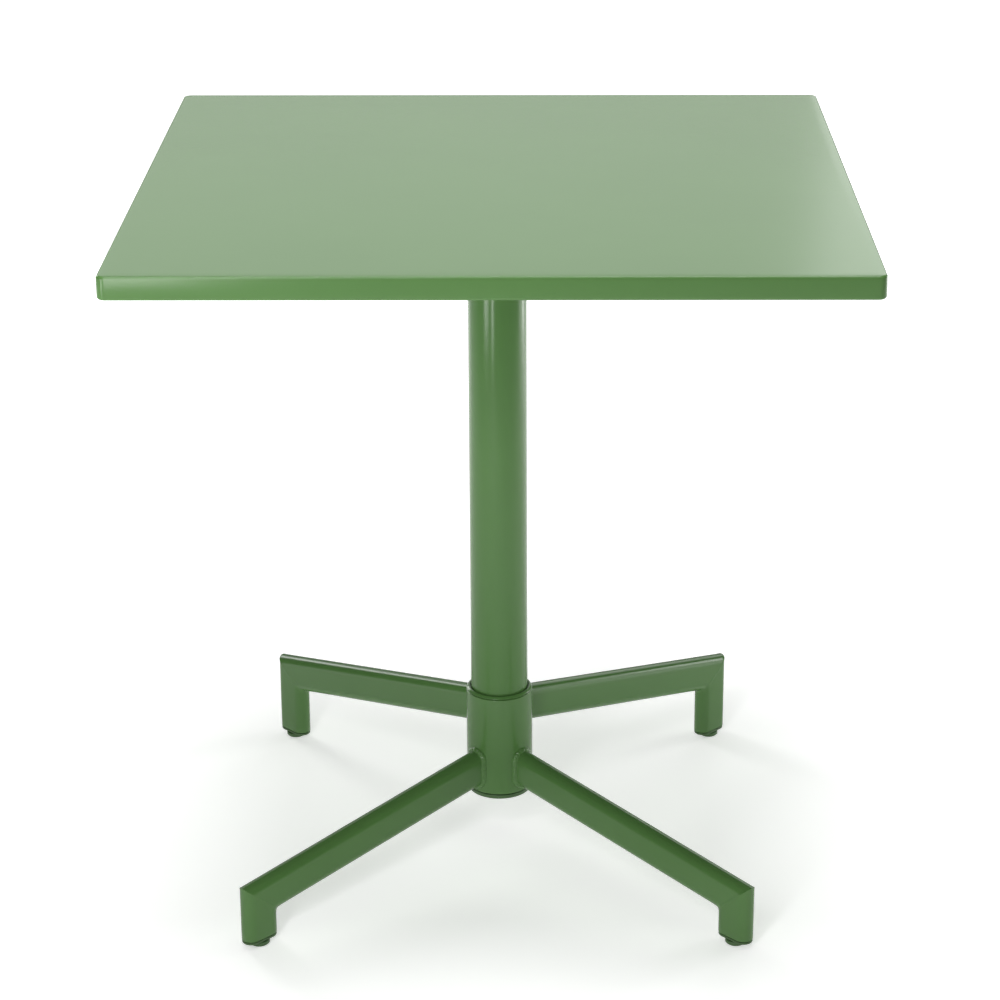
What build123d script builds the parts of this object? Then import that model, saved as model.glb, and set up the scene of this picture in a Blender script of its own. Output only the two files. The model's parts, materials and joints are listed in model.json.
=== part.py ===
from build123d import *
import os
from math import atan, cos, degrees, sin

# Square bistro table with a top that tips up on a pedestal, so that tables nest in a row.
# Units are millimetres. The origin is on the floor under the column's axis, +Z is up,
# -Y is the front, where the lower pair of arms is, and the top tips about an axis along X.

# ---- driving dimensions -------------------------------------------------------------------

HEIGHT = 730.0  # floor to table surface
TOP_SIDE = 700.0  # the top is square
TOP_CORNER_R = 8.0  # corner of the top, seen from above
TOP_EDGE_R = 2.5  # outside bend between surface and apron
TOP_HEM_R = 3.0  # outside bend between apron and hem
APRON = 22.5  # height of the folded edge
HEM = 14.0  # inward return at the foot of the apron
SHEET = 1.5  # sheet steel of the top

COLUMN_R = 30.0
COLUMN_WALL = 2.0
COLUMN_TOP = 660.0
COLUMN_FOOT = 90.0

HUB_R = 35.0
HUB_WALL = 4.0
HUB_TOP = 171.0
HUB_BOTTOM = 61.0

ARM_DEEP = 40.0  # flat-oval tube, long side upright
ARM_WIDE = 20.0
ARM_WALL = 2.0
FOOT_REACH = 338.0  # column axis to the axis of each foot
REAR_AXIS_Z, REAR_SLOPE = 149.0, 0.207  # height of the arm's axis at the column, fall per mm
FRONT_AXIS_Z, FRONT_SLOPE = 92.2, 0.123
LEG_BOTTOM = 9.0
WELD = 2.2  # leg of the fillet weld round each arm

FEET = {  # name: (azimuth in degrees, height of the arm's axis at the column, slope)
    "front_left": (225.0, FRONT_AXIS_Z, FRONT_SLOPE),
    "front_right": (315.0, FRONT_AXIS_Z, FRONT_SLOPE),
    "rear_right": (45.0, REAR_AXIS_Z, REAR_SLOPE),
    "rear_left": (135.0, REAR_AXIS_Z, REAR_SLOPE),
}

PIVOT_Y, PIVOT_Z = -18.0, 682.0  # axis that the top tips about
PIVOT_R = 5.0
LUG_HALF = 18.5  # half the width of the head's lug
EAR_IN, EAR_OUT = 20.0, 28.0  # the yoke's ears, measured from the middle
EAR_R = 14.0
YOKE_UNDER, YOKE_THICK = 702.5, 6.0
YOKE_X, YOKE_FRONT, YOKE_BACK = 50.0, -48.0, 60.0
PLATE_THICK = 4.0
PLATE_X, PLATE_Y = 150.0, 75.0
CHANNEL_X = 110.0  # middle of each stiffening channel
CHANNEL_LONG, CHANNEL_WIDE, CHANNEL_LIP = 640.0, 40.0, 12.0

PLATE_UNDER = YOKE_UNDER + YOKE_THICK
CHANNEL_UNDER = PLATE_UNDER + PLATE_THICK
SHEET_UNDER = HEIGHT - SHEET
YOKE_BOLTS = [(x, y) for x in (-38.0, 38.0) for y in (-34.0, 46.0)]
PLATE_SCREWS = [(x, y) for x in (-CHANNEL_X, CHANNEL_X) for y in (-60.0, 0.0, 60.0)]
M6, M8, M12 = 3.0, 4.0, 6.0  # nominal thread radii
THREAD_GAP = 0.05  # radial room between a plain shank and the hole it screws into

FOOT_GAP = 0.4  # between a pad and its plug when screwed right in
PAD_R, PAD_HIGH = 10.5, 5.1
PLUG_FLANGE = LEG_BOTTOM - PAD_HIGH - FOOT_GAP
PLUG_DEEP = 18.0
INSERT_R, INSERT_LOW, INSERT_HIGH = 6.0, 12.0, 26.0
STUD_LOW, STUD_HIGH = 1.6, 27.0

RING_HIGH = 3.3  # part of the collar that shows above the hub
SEAT_LOW = 78.0  # underside of the disc that the column stands on

BUFFERS = [(-10.0, 14.0), (10.0, 14.0)]  # rubber buttons that the top rests on
BUFFER_STEM_R = 3.5

LEVER_WASHER = (EAR_OUT + THREAD_GAP, EAR_OUT + 2.0)
LEVER_IN, LEVER_OUT = 31.0, 53.0  # the clamp lever's boss along X
LEVER_BOSS_R = 10.5
LEVER_LONG = 78.0
SLEEVE_R = 7.0


# ---- shared shapes ------------------------------------------------------------------------


def disc(radius, low, high, x=0.0, y=0.0):
    """Upright solid cylinder between two heights."""
    return Pos(x, y, (low + high) / 2) * Cylinder(radius, high - low)


def tube(outer, inner, low, high, x=0.0, y=0.0):
    return disc(outer, low, high, x, y) - disc(inner, low - 1, high + 1, x, y)


def cross_disc(radius, left, right, y=PIVOT_Y, z=PIVOT_Z):
    """Solid cylinder lying along X, on the tipping axis unless told otherwise."""
    return Pos((left + right) / 2, y, z) * Rot(0, 90, 0) * Cylinder(radius, right - left)


def block(x0, x1, y0, y1, z0, z1):
    return Pos((x0 + x1) / 2, (y0 + y1) / 2, (z0 + z1) / 2) * Box(x1 - x0, y1 - y0, z1 - z0)


def hexagon(across_flats, low, high, x=0.0, y=0.0):
    flat = RegularPolygon(across_flats / 2, 6, major_radius=False)
    return Pos(x, y, low) * extrude(flat, high - low)


def slab(side, corner, low, high):
    return Pos(0, 0, low) * extrude(RectangleRounded(side, side, corner), high - low)


def oval_bar(inset, low, high, x=FOOT_REACH):
    """Upright bar with the legs' flat-oval outline, drawn in by inset all round."""
    outline = SlotOverall(ARM_DEEP - 2 * inset, ARM_WIDE - 2 * inset)
    return Pos(x, 0, low) * extrude(outline, high - low)


def rim(part, low, high):
    """Edges of part that lie flat between two heights."""
    flat = part.edges().filter_by(lambda e: e.bounding_box().size.Z < 1e-3)
    return flat.filter_by_position(Axis.Z, low, high)


# ---- the top and what is fixed under it ---------------------------------------------------


def table_top():
    """Folded steel tray: surface, apron and an inward hem, corners closed by welding."""
    under = HEIGHT - APRON
    outer = slab(TOP_SIDE, TOP_CORNER_R, under, HEIGHT)
    outer = fillet(rim(outer, HEIGHT - 0.1, HEIGHT + 0.1), TOP_EDGE_R)
    outer = fillet(rim(outer, under - 0.1, under + 0.1), TOP_HEM_R)
    hollow = slab(TOP_SIDE - 2 * SHEET, TOP_CORNER_R - SHEET, under + SHEET, SHEET_UNDER)
    hollow = fillet(rim(hollow, SHEET_UNDER - 0.1, SHEET_UNDER + 0.1), TOP_EDGE_R - SHEET)
    hollow = fillet(rim(hollow, under + SHEET - 0.1, under + SHEET + 0.1), TOP_HEM_R - SHEET)
    mouth = slab(TOP_SIDE - 2 * HEM, TOP_CORNER_R, under - 1, under + SHEET + 1)
    return outer - hollow - mouth


def channel(x):
    """Hat-section channel along Y, spot welded to the sheet by its two lips."""
    half = CHANNEL_WIDE / 2
    ends = (-CHANNEL_LONG / 2, CHANNEL_LONG / 2)
    body = block(x - half, x + half, *ends, CHANNEL_UNDER, SHEET_UNDER)
    body = fillet(body.edges().filter_by(Axis.Y).group_by(Axis.Z)[0], 2.0)
    body -= block(x - half + SHEET, x + half - SHEET, *ends, CHANNEL_UNDER + SHEET, SHEET_UNDER)
    for side in (-1, 1):
        lip = sorted((x + side * (half - SHEET), x + side * (half + CHANNEL_LIP)))
        body += block(*lip, *ends, SHEET_UNDER - SHEET, SHEET_UNDER)
    for hole_x, hole_y in PLATE_SCREWS:
        if abs(hole_x - x) < half:
            body -= disc(M6 + 0.3, CHANNEL_UNDER - 1, CHANNEL_UNDER + 3, hole_x, hole_y)
    return body


def mounting_plate():
    """Steel plate that ties the channels together and carries the yoke."""
    plate = block(-PLATE_X, PLATE_X, -PLATE_Y, PLATE_Y, PLATE_UNDER, CHANNEL_UNDER)
    plate = fillet(plate.edges().filter_by(Axis.Z), 12.0)
    for x, y in PLATE_SCREWS:
        plate -= disc(M6 + 0.3, PLATE_UNDER - 1, CHANNEL_UNDER + 1, x, y)
    for x, y in YOKE_BOLTS:
        plate -= disc(M8 + 0.3, PLATE_UNDER - 1, CHANNEL_UNDER + 1, x, y)
    return plate


def plate_screw(x, y):
    """M6 pan-head screw with a cross-shaped recess, pointing up."""
    head = disc(6.0, PLATE_UNDER - 3.2, PLATE_UNDER, x, y)
    head = fillet(rim(head, PLATE_UNDER - 3.3, PLATE_UNDER - 3.1), 2.0)
    for turn in (0, 90):
        slot = Pos(x, y, PLATE_UNDER - 2.4) * Rot(0, 0, turn) * Box(6.0, 1.2, 2.0)
        head -= slot
    return head + disc(M6 - THREAD_GAP, PLATE_UNDER, CHANNEL_UNDER + 8.0, x, y)


def channel_nut(x, y):
    """M6 weld nut inside a channel."""
    low = CHANNEL_UNDER + SHEET
    return hexagon(10.0, low, low + 5.0, x, y) - disc(M6, low - 1, low + 6.0, x, y)


def hinge_yoke():
    """Cast bracket: a flange bolted under the plate, and two ears that hold the pivot."""
    flange = block(-YOKE_X, YOKE_X, YOKE_FRONT, YOKE_BACK, YOKE_UNDER, PLATE_UNDER)
    flange = fillet(flange.edges().filter_by(Axis.Z), 8.0)
    flange = fillet(rim(flange, YOKE_UNDER - 0.1, YOKE_UNDER + 0.1), 1.0)
    web = Polyline(
        (PIVOT_Y - EAR_R, PIVOT_Z),
        (PIVOT_Y - 22, YOKE_UNDER + 1),
        (PIVOT_Y + 26, YOKE_UNDER + 1),
        (PIVOT_Y + EAR_R, PIVOT_Z),
        close=True,
    )
    ears = []
    for left, right in ((-EAR_OUT, -EAR_IN), (EAR_IN, EAR_OUT)):
        sheet = Plane.YZ.offset(left) * make_face(web)
        ear = extrude(sheet, right - left) + cross_disc(EAR_R, left, right)
        ears.append(ear)
    yoke = flange + ears
    yoke -= cross_disc(PIVOT_R + THREAD_GAP, -EAR_OUT - 1, EAR_OUT + 1)
    for x, y in YOKE_BOLTS:
        yoke -= disc(M8 + 0.3, YOKE_UNDER - 1, PLATE_UNDER + 1, x, y)
    return yoke


def yoke_bolt(x, y):
    """M8 button-head bolt with a hexagon socket, pointing up."""
    head = disc(7.0, YOKE_UNDER - 4.4, YOKE_UNDER, x, y)
    head = fillet(rim(head, YOKE_UNDER - 4.5, YOKE_UNDER - 4.3), 3.0)
    head -= hexagon(5.0, YOKE_UNDER - 5.0, YOKE_UNDER - 2.0, x, y)
    return head + disc(M8 - THREAD_GAP, YOKE_UNDER, CHANNEL_UNDER + 9.0, x, y)


def yoke_nut(x, y):
    low = CHANNEL_UNDER
    nut = hexagon(13.0, low, low + 6.5, x, y) & disc(7.2, low, low + 6.5, x, y)
    return nut - disc(M8, low - 1, low + 8.0, x, y)


# ---- the tipping joint --------------------------------------------------------------------


def column_head():
    """Casting pressed into the column: spigot, shoulder, lug for the pivot and end stop."""
    spigot_low = COLUMN_TOP - 50.0
    inner = COLUMN_R - COLUMN_WALL - THREAD_GAP
    head = disc(inner, spigot_low, COLUMN_TOP) - disc(23.0, spigot_low - 1, COLUMN_TOP - 8)
    head += disc(11.0, spigot_low, COLUMN_TOP - 4)
    head += disc(COLUMN_R, COLUMN_TOP, COLUMN_TOP + 5)
    lug = block(-LUG_HALF, LUG_HALF, PIVOT_Y - 12, 26.0, COLUMN_TOP + 4, PIVOT_Z)
    lug += cross_disc(12.0, -LUG_HALF, LUG_HALF)
    lug += block(-LUG_HALF, LUG_HALF, -14.0, 26.0, PIVOT_Z - 1, YOKE_UNDER - 4.5)
    lug = fillet(lug.edges().filter_by(Axis.Z).group_by(Axis.Y)[-1], 5.0)
    stop = PIVOT_Y - (YOKE_UNDER - PIVOT_Z) + 0.1
    nose = block(-12.0, 12.0, stop, PIVOT_Y, COLUMN_TOP, COLUMN_TOP + 12)
    nose = fillet(nose.edges().filter_by(Axis.Z).group_by(Axis.Y)[0], 3.0)
    head += [lug, nose]
    head -= cross_disc(PIVOT_R + THREAD_GAP, -LUG_HALF - 1, LUG_HALF + 1)
    head -= disc(M12, spigot_low - 1, spigot_low + 42)
    for x, y in BUFFERS:
        head -= disc(BUFFER_STEM_R, YOKE_UNDER - 9.5, YOKE_UNDER, x, y)
    return head


def rest_buffer(x, y):
    """Rubber button that the yoke lies on when the table is in use."""
    face = YOKE_UNDER - 0.1
    button = disc(6.0, YOKE_UNDER - 4.5, face, x, y)
    button = fillet(rim(button, face - 0.1, face + 0.1), 1.0)
    return button + disc(BUFFER_STEM_R - THREAD_GAP, YOKE_UNDER - 9.0, YOKE_UNDER - 4.5, x, y)


def friction_washer(side):
    left, right = sorted((side * LUG_HALF, side * (EAR_IN - THREAD_GAP)))
    return cross_disc(11.0, left, right) - cross_disc(PIVOT_R + THREAD_GAP, left - 1, right + 1)


def pivot_bolt():
    """M10 hexagon bolt that the top tips about, tightened by the clamp lever."""
    head_out, head_in = -EAR_OUT - 6.5, -EAR_OUT - THREAD_GAP
    head = Pos(head_out, PIVOT_Y, PIVOT_Z) * Rot(0, 90, 0)
    head *= extrude(RegularPolygon(8.5, 6, major_radius=False), head_in - head_out)
    return head + cross_disc(PIVOT_R, head_in, LEVER_OUT - 10)


def pivot_washer():
    left, right = LEVER_WASHER
    return cross_disc(10.0, left, right) - cross_disc(PIVOT_R + THREAD_GAP, left - 1, right + 1)


def lever_sleeve():
    """Threaded steel sleeve inside the clamp lever."""
    left, right = LEVER_WASHER[1] + 0.2, LEVER_OUT - 7
    sleeve = cross_disc(SLEEVE_R, left, right)
    sleeve -= cross_disc(PIVOT_R + THREAD_GAP, left - 1, LEVER_OUT - 9.5)
    return sleeve - cross_disc(2.0, left, right + 1)


def lever_screw():
    """Screw that holds the lever on its sleeve."""
    head_low, head_high = LEVER_OUT - 7, LEVER_OUT - 3.5
    head = cross_disc(4.5, head_low, head_high)
    head -= Pos(head_high, PIVOT_Y, PIVOT_Z) * Box(2.4, 6.5, 1.0)
    return head + cross_disc(2.0 - THREAD_GAP, LEVER_OUT - 9.2, head_low)


def clamp_lever():
    """Moulded lever: a round boss on the pivot, and a grip that points back and leans out."""
    boss = cross_disc(LEVER_BOSS_R, LEVER_IN, LEVER_OUT)
    boss = fillet(boss.edges(), 1.5)
    stations = (  # distance behind the pivot, place along X, width, height
        (2.0, LEVER_OUT - 8.0, 13.0, 15.0),
        (0.35 * LEVER_LONG, LEVER_OUT - 4.0, 10.0, 12.0),
        (0.75 * LEVER_LONG, LEVER_OUT + 4.0, 11.0, 15.0),
        (LEVER_LONG, LEVER_OUT + 7.0, 8.0, 11.0),
    )
    rings = []
    for back, x, wide, high in stations:
        across = Plane(origin=(x, PIVOT_Y + back, PIVOT_Z), x_dir=(1, 0, 0), z_dir=(0, 1, 0))
        rings.append(across * Ellipse(wide / 2, high / 2))
    lever = boss + loft(rings)
    lever -= cross_disc(SLEEVE_R + THREAD_GAP, LEVER_IN - 1, LEVER_OUT - 7)
    return lever - cross_disc(5.0, LEVER_OUT - 7.1, LEVER_OUT + 1)


# ---- pedestal -----------------------------------------------------------------------------


def column_tube():
    return tube(COLUMN_R, COLUMN_R - COLUMN_WALL, COLUMN_FOOT, COLUMN_TOP)


def collar_ring():
    """Bezel that closes the gap between hub and column, with a thin sleeve down the gap."""
    bore = COLUMN_R + THREAD_GAP
    ring = disc(HUB_R - 0.4, HUB_TOP, HUB_TOP + RING_HIGH)
    ring = chamfer(rim(ring, HUB_TOP + RING_HIGH - 0.1, HUB_TOP + RING_HIGH + 0.1), 2.0)
    ring += disc(HUB_R - HUB_WALL - THREAD_GAP, HUB_TOP - 20, HUB_TOP)
    ring -= disc(bore, HUB_TOP - 21, HUB_TOP + RING_HIGH + 1)
    return ring - disc(bore + 0.6, HUB_TOP + 0.8, HUB_TOP + RING_HIGH + 1)


def hub_tube():
    hub = tube(HUB_R, HUB_R - HUB_WALL, HUB_BOTTOM, HUB_TOP)
    outside = hub.edges().filter_by(GeomType.CIRCLE).filter_by(lambda e: e.radius > HUB_R - 1)
    return fillet(outside, 0.8)


def hub_seat():
    """Disc welded inside the hub. The column stands on it, centred by its spigot."""
    seat = disc(HUB_R - HUB_WALL - THREAD_GAP, SEAT_LOW, COLUMN_FOOT)
    seat += disc(COLUMN_R - COLUMN_WALL - THREAD_GAP, COLUMN_FOOT, COLUMN_FOOT + 20)
    seat -= disc(20.0, COLUMN_FOOT + 4, COLUMN_FOOT + 21)
    return seat - disc(M12 + 0.5, SEAT_LOW - 1, COLUMN_FOOT + 5)


def tie_rod():
    """Rod that pulls the column head down on to the hub."""
    return disc(M12 - THREAD_GAP, HUB_BOTTOM + 1.8, COLUMN_TOP - 10)


def tie_rod_washer():
    return tube(12.0, M12 + 0.5, SEAT_LOW - 2.5, SEAT_LOW)


def tie_rod_nut():
    low, high = SEAT_LOW - 13.3, SEAT_LOW - 2.5
    nut = hexagon(19.0, low, high) & disc(10.6, low, high)
    return nut - disc(M12, low - 1, high + 1)


def hub_cap():
    """Cap that snaps into the foot of the hub and hides the nut, with a shadow gap above it."""
    flange_low, flange_high = HUB_BOTTOM - 6.3, HUB_BOTTOM - 1.6
    cap = disc(HUB_R - 1.5, flange_low, flange_high)
    cap = fillet(rim(cap, flange_low - 0.1, flange_low + 0.1), 1.6)
    wall = HUB_R - HUB_WALL - THREAD_GAP
    return cap + tube(wall, wall - 3.0, flange_high, HUB_BOTTOM + 10)


# ---- arms, legs and feet, drawn along +X and turned to their places -----------------------


def arm_plane(axis_z, slope):
    """Section plane of an arm at the column's axis: X is the section's upright direction."""
    fall = atan(slope)
    return Plane(
        origin=(0, 0, axis_z),
        x_dir=(sin(fall), 0, cos(fall)),
        z_dir=(cos(fall), 0, -sin(fall)),
    )


def oval_arm(axis_z, slope, inset, start, length):
    section = SlotOverall(ARM_DEEP - 2 * inset, ARM_WIDE - 2 * inset)
    along = arm_plane(axis_z, slope)
    return extrude(along.offset(start) * section, length)


def mitre_side(axis_z, slope, keep_arm):
    """Large block on the arm's or the leg's side of the mitre between the two."""
    lean = 45.0 - degrees(atan(slope)) / 2
    reach = 200.0
    side = 1 if keep_arm else -1
    place = Pos(FOOT_REACH, 0, axis_z - slope * FOOT_REACH) * Rot(0, -lean, 0)
    return place * Pos(0, 0, side * reach) * Box(4 * reach, reach, 2 * reach)


def arm(axis_z, slope):
    tube_long = FOOT_REACH + 2 * ARM_DEEP
    bar = oval_arm(axis_z, slope, 0, 0, tube_long)
    bar -= oval_arm(axis_z, slope, ARM_WALL, -1, tube_long + 2)
    bar -= disc(HUB_R, 0, HEIGHT)
    return bar & mitre_side(axis_z, slope, keep_arm=True)


def leg(axis_z, slope):
    high = axis_z
    bar = oval_bar(0, LEG_BOTTOM, high) - oval_bar(ARM_WALL, LEG_BOTTOM - 1, high + 1)
    return bar & mitre_side(axis_z, slope, keep_arm=False)


def hub_weld(axis_z, slope):
    """Bead that runs round the arm where it meets the hub."""
    bead = oval_arm(axis_z, slope, -WELD, 0, 2 * HUB_R)
    bead -= oval_arm(axis_z, slope, 0, -1, 2 * HUB_R + 2)
    bead &= block(0, 2 * HUB_R, -HUB_R, HUB_R, 0, HEIGHT)
    return bead & tube(HUB_R + WELD, HUB_R, 0, HEIGHT)


def leg_plug():
    """Nylon plug in the foot of a leg, with its own flange and a seat for the thread."""
    flange_low = LEG_BOTTOM - PLUG_FLANGE
    flange = oval_bar(0.3, flange_low, LEG_BOTTOM)
    flange = fillet(rim(flange, flange_low - 0.1, flange_low + 0.1), 1.2)
    plug = flange + oval_bar(ARM_WALL + 0.1, LEG_BOTTOM, LEG_BOTTOM + PLUG_DEEP)
    plug -= disc(M8 + 0.3, 0, INSERT_LOW, FOOT_REACH)
    return plug - disc(INSERT_R + THREAD_GAP, INSERT_LOW, LEG_BOTTOM + PLUG_DEEP + 1, FOOT_REACH)


def plug_insert():
    return tube(INSERT_R, M8, INSERT_LOW, INSERT_HIGH, FOOT_REACH)


def foot_stud():
    return disc(M8 - THREAD_GAP, STUD_LOW, STUD_HIGH, FOOT_REACH)


def foot_pad():
    """Round pad on the stud's end, that stands on the floor."""
    pad = disc(PAD_R, 0, PAD_HIGH, FOOT_REACH)
    pad = chamfer(rim(pad, -0.1, 0.1), 1.6)
    pad = fillet(rim(pad, PAD_HIGH - 0.1, PAD_HIGH + 0.1), 0.6)
    return pad - disc(M8 + THREAD_GAP, STUD_LOW - 0.1, PAD_HIGH + 1, FOOT_REACH)


# ---- the assembly -------------------------------------------------------------------------


def group(maker, places):
    """Separate solids of one kind, kept together in one node."""
    return Compound(children=[Part(maker(*place).wrapped) for place in places])


def assembly():
    nodes = {
        "table_top": table_top(),
        "channel_left": channel(-CHANNEL_X),
        "channel_right": channel(CHANNEL_X),
        "mounting_plate": mounting_plate(),
        "plate_screws": group(plate_screw, PLATE_SCREWS),
        "channel_nuts": group(channel_nut, PLATE_SCREWS),
        "hinge_yoke": hinge_yoke(),
        "yoke_bolts": group(yoke_bolt, YOKE_BOLTS),
        "yoke_nuts": group(yoke_nut, YOKE_BOLTS),
        "column_head": column_head(),
        "rest_buffers": group(rest_buffer, BUFFERS),
        "friction_washer_left": friction_washer(-1),
        "friction_washer_right": friction_washer(1),
        "pivot_bolt": pivot_bolt(),
        "pivot_washer": pivot_washer(),
        "clamp_lever": clamp_lever(),
        "lever_sleeve": lever_sleeve(),
        "lever_screw": lever_screw(),
        "column_tube": column_tube(),
        "collar_ring": collar_ring(),
        "hub_tube": hub_tube(),
        "hub_seat": hub_seat(),
        "tie_rod": tie_rod(),
        "tie_rod_washer": tie_rod_washer(),
        "tie_rod_nut": tie_rod_nut(),
        "hub_cap": hub_cap(),
    }
    welds = []
    for name, (azimuth, axis_z, slope) in FEET.items():
        turn = Rot(0, 0, azimuth)
        welds.append((turn * hub_weld(axis_z, slope),))
        nodes["arm_" + name] = turn * arm(axis_z, slope)
        nodes["leg_" + name] = turn * leg(axis_z, slope)
        nodes["leg_plug_" + name] = turn * leg_plug()
        nodes["plug_insert_" + name] = turn * plug_insert()
        nodes["foot_stud_" + name] = turn * foot_stud()
        nodes["foot_pad_" + name] = turn * foot_pad()
    nodes["hub_welds"] = group(lambda bead: bead, welds)
    return nodes


os.makedirs("parts", exist_ok=True)
for node, shape in assembly().items():
    export_step(shape, os.path.join("parts", node + ".step"))
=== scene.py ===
import json
import math

import bmesh
import bpy
import numpy as np
from mathutils import Matrix, Vector


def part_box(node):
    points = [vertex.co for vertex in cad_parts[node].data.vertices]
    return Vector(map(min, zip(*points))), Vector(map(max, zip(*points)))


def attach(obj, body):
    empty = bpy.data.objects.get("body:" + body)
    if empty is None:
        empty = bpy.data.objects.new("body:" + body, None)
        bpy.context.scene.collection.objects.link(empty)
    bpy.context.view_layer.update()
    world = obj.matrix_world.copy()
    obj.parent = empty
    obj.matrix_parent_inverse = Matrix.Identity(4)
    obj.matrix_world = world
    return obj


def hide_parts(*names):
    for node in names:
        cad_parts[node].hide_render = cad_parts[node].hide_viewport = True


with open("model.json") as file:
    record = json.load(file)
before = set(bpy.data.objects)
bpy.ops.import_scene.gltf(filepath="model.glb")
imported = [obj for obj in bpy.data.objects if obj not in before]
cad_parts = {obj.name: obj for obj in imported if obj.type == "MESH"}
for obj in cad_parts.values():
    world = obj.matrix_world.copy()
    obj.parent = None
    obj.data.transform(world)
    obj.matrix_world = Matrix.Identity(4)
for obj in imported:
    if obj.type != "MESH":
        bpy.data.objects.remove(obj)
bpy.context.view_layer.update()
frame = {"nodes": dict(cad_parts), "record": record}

mm = 0.001
feet = {"front_left": 225, "front_right": 315, "rear_right": 45, "rear_left": 135}  # degrees from +X


# meshes from grids of points

def gridFaces(rows, columns, wrapRows, wrapColumns):
    # one quad between each four neighbours of a grid, whose last row or column may join its first
    index = np.arange(rows * columns).reshape(rows, columns)
    if wrapRows:
        index = np.vstack([index, index[:1]])
    if wrapColumns:
        index = np.hstack([index, index[:, :1]])
    corners = [index[:-1, :-1], index[1:, :-1], index[1:, 1:], index[:-1, 1:]]
    return np.stack(corners, -1).reshape(-1, 4)


def makePiece(name, sheets, body, slot, hides=(), crease=38, fill=False):
    # joins grids (points, do the rows wrap, do the columns wrap) into one mesh
    points, faces, start = [], [], 0
    for grid, wrapRows, wrapColumns in sheets:
        rows, columns = grid.shape[:2]
        points.append(grid.reshape(-1, 3))
        faces.append(gridFaces(rows, columns, wrapRows, wrapColumns) + start)
        start += rows * columns
    mesh = bpy.data.meshes.new(name)
    mesh.from_pydata(np.concatenate(points).tolist(), [], np.concatenate(faces).tolist())
    return hangMesh(name, mesh, body, slot, hides, crease, fill)


def hangMesh(name, mesh, body, slot, hides=(), crease=38, fill=False):
    # closes seams and poles, shades smooth up to the crease angle, then hangs the piece on its body
    worked = bmesh.new()
    worked.from_mesh(mesh)
    bmesh.ops.remove_doubles(worked, verts=worked.verts, dist=2e-6)
    bmesh.ops.dissolve_degenerate(worked, dist=1e-6, edges=worked.edges)
    if fill:
        bmesh.ops.holes_fill(worked, edges=[edge for edge in worked.edges if edge.is_boundary], sides=0)
    bmesh.ops.recalc_face_normals(worked, faces=worked.faces)
    worked.to_mesh(mesh)
    worked.free()
    mesh.shade_smooth()
    mesh.set_sharp_from_angle(angle=math.radians(crease))
    mesh.materials.clear()
    mesh.materials.append(slotFinish[slot])
    piece = bpy.data.objects.new(name, mesh)
    bpy.context.scene.collection.objects.link(piece)
    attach(piece, body)
    if hides:
        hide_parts(*hides)
    return piece


def rounded(corners, steps=6, closed=False):
    # each corner (across, up, radius) of a polyline becomes an arc that touches both of its sides
    spots = np.array(corners, float)
    count = len(spots)
    path = []
    for i in range(count):
        here, radius = spots[i, :2], spots[i, 2]
        if radius == 0 or (not closed and i in (0, count - 1)):
            path.append(here[None])
            continue
        before, after = spots[i - 1, :2] - here, spots[(i + 1) % count, :2] - here
        before, after = before / np.hypot(*before), after / np.hypot(*after)
        half = math.acos(np.clip(before @ after, -1, 1)) / 2
        middle = (before + after) / np.hypot(*(before + after))
        centre = here + middle * radius / math.sin(half)
        first = here + before * radius / math.tan(half) - centre
        last = here + after * radius / math.tan(half) - centre
        start = math.atan2(first[1], first[0])
        turn = math.atan2(first[0] * last[1] - first[1] * last[0], first @ last)
        angles = start + turn * np.linspace(0, 1, steps + 1)
        path.append(centre + radius * np.stack([np.cos(angles), np.sin(angles)], -1))
    return np.concatenate(path)


def ringSection(inner, outer, low, high, innerEdge, outerEdge, steps=3):
    return rounded([
        (inner, low, innerEdge), (outer, low, outerEdge), (outer, high, outerEdge), (inner, high, innerEdge),
    ], steps, True)


def turned(profile, centre=(0.0, 0.0), segments=96, along="z", closed=False):
    # every (radius, height) of the profile goes once round an axis: upright, or along X through (y, z)
    spin = np.linspace(0, 2 * math.pi, segments, endpoint=False)
    radius, height = profile[:, :1], profile[:, 1:]
    across, up = radius * np.cos(spin), radius * np.sin(spin)
    level = height + 0 * spin
    if along == "x":
        return np.stack([level, centre[0] + across, centre[1] + up], -1), closed, True
    return np.stack([centre[0] + across, centre[1] + up, level], -1), closed, True


def placed(grid, azimuth):
    # turns a grid drawn along +X round the column's axis
    c, s = math.cos(math.radians(azimuth)), math.sin(math.radians(azimuth))
    x, y = grid[..., 0], grid[..., 1]
    return np.stack([c * x - s * y, s * x + c * y, grid[..., 2]], -1)


def lidded(grid):
    # closes both ends of a tube by drawing its first and last rings in to their middles
    first = grid[:1].mean(1, keepdims=True) + 0 * grid[:1]
    last = grid[-1:].mean(1, keepdims=True) + 0 * grid[-1:]
    return np.concatenate([first, grid, last])


# finishes

class Wire:
    # an output socket that can be added to and multiplied
    def __init__(self, finish, socket):
        self.finish = finish
        self.socket = socket

    def sum(self, operation, first, second):
        return self.finish.node("ShaderNodeMath", {"operation": operation}, {0: first, 1: second})

    def __add__(self, other):
        return self.sum("ADD", self, other)

    def __mul__(self, other):
        return self.sum("MULTIPLY", self, other)

    __rmul__ = __mul__


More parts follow.
